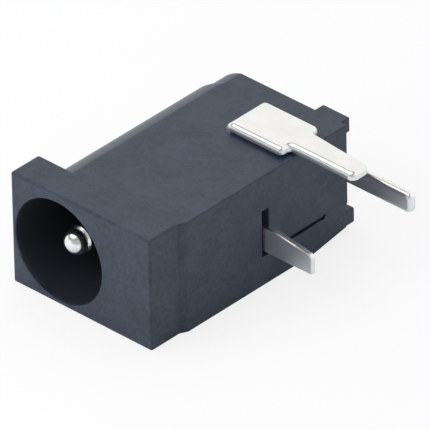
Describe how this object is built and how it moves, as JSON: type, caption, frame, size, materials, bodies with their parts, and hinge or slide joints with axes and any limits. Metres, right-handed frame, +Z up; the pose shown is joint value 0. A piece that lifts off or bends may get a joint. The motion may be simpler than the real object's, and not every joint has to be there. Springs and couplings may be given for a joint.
{
  "type": "dc barrel jack",
  "caption": "Right-angle board-mount barrel jack: black moulded body with a round mouth and centre pin, and bright solder pins for the pin, sleeve and switch contacts.",
  "frame": {"origin": "under the middle of the jack's bounding box, on the plane of the side that it lies on", "axes": "+X towards the board, the way the solder pins point; -Y out of the mouth; +Z up, across the jack"},
  "size_m": [0.0096, 0.0106, 0.005],
  "materials": {
    "housing": "fine matt moulded plastic",
    "centre_pin": "bright nickel plate",
    "rear_terminal": "bright tin plate",
    "sleeve_spring": "bright tin plate",
    "switch_terminal": "bright tin plate"
  },
  "bodies": {
    "root": {"housing": "housing", "centre_pin": "centre_pin", "rear_terminal": "rear_terminal", "sleeve_spring": "sleeve_spring", "switch_terminal": "switch_terminal"}
  },
  "joints": []
}
